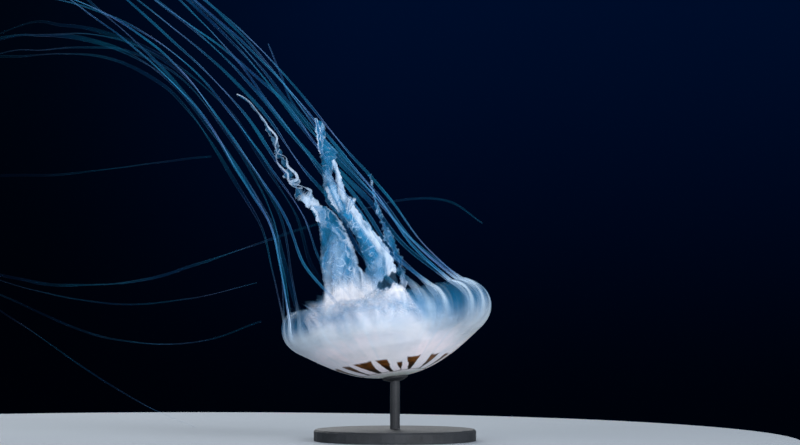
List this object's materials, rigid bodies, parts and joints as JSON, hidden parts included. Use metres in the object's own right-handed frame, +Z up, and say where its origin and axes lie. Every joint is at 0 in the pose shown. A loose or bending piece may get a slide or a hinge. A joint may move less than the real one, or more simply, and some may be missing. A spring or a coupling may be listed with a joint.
{
  "type": "model jellyfish on stand",
  "caption": "Life-size still model of a swimming sea nettle jellyfish, bell down and tentacles streaming up to one side, on a plain round display stand.",
  "frame": {"origin": "centre of the flat underside of the stand's base, straight below the crown of the bell", "axes": "+Z up out of the floor, +X to the right and -Y towards the viewer; the tentacles stream up and towards -X"},
  "size_m": [0.4583, 0.1501, 0.3917],
  "materials": {
    "bell_jelly": "gloss",
    "rim_jelly": "gloss",
    "stomach_milk": "satin",
    "arm_frill": "gloss",
    "tentacle_jelly": "gloss",
    "stand_paint": "satin"
  },
  "bodies": {
    "root": {"stand_base": "stand_paint", "stand_rod": "stand_paint", "bell": "bell_jelly", "bell_margin": "rim_jelly", "stomach": "stomach_milk", "mouth_arm_left_base": "arm_frill", "mouth_arm_left_curl": "arm_frill", "mouth_arm_front_base": "arm_frill", "mouth_arm_front_curl": "arm_frill", "mouth_arm_back_base": "arm_frill", "mouth_arm_back_curl": "arm_frill", "mouth_arm_right_whole": "arm_frill", "tentacle_01_root": "tentacle_jelly", "tentacle_01_tip": "tentacle_jelly", "tentacle_02_whole": "tentacle_jelly", "tentacle_03_root": "tentacle_jelly", "tentacle_03_tip": "tentacle_jelly", "tentacle_04_root": "tentacle_jelly", "tentacle_04_tip": "tentacle_jelly", "tentacle_05_root": "tentacle_jelly", "tentacle_05_tip": "tentacle_jelly", "tentacle_06_root": "tentacle_jelly", "tentacle_06_tip": "tentacle_jelly", "tentacle_07_root": "tentacle_jelly", "tentacle_07_tip": "tentacle_jelly", "tentacle_08_root": "tentacle_jelly", "tentacle_08_tip": "tentacle_jelly", "tentacle_09_root": "tentacle_jelly", "tentacle_09_middle": "tentacle_jelly", "tentacle_09_tip": "tentacle_jelly", "tentacle_10_root": "tentacle_jelly", "tentacle_10_middle": "tentacle_jelly", "tentacle_10_tip": "tentacle_jelly", "tentacle_11_root": "tentacle_jelly", "tentacle_11_tip": "tentacle_jelly", "tentacle_12_root": "tentacle_jelly", "tentacle_12_middle": "tentacle_jelly", "tentacle_12_tip": "tentacle_jelly", "tentacle_13_root": "tentacle_jelly", "tentacle_13_middle": "tentacle_jelly", "tentacle_13_tip": "tentacle_jelly", "tentacle_14_root": "tentacle_jelly", "tentacle_14_tip": "tentacle_jelly", "tentacle_15_root": "tentacle_jelly", "tentacle_15_middle": "tentacle_jelly", "tentacle_15_tip": "tentacle_jelly", "tentacle_16_root": "tentacle_jelly", "tentacle_16_tip": "tentacle_jelly", "tentacle_17_whole": "tentacle_jelly", "tentacle_18_whole": "tentacle_jelly", "tentacle_19_whole": "tentacle_jelly", "tentacle_20_whole": "tentacle_jelly", "tentacle_21_root": "tentacle_jelly", "tentacle_21_tip": "tentacle_jelly", "tentacle_22_root": "tentacle_jelly", "tentacle_22_tip": "tentacle_jelly", "tentacle_23_root": "tentacle_jelly", "tentacle_23_tip": "tentacle_jelly", "tentacle_24_root": "tentacle_jelly", "tentacle_24_tip": "tentacle_jelly"}
  },
  "joints": []
}
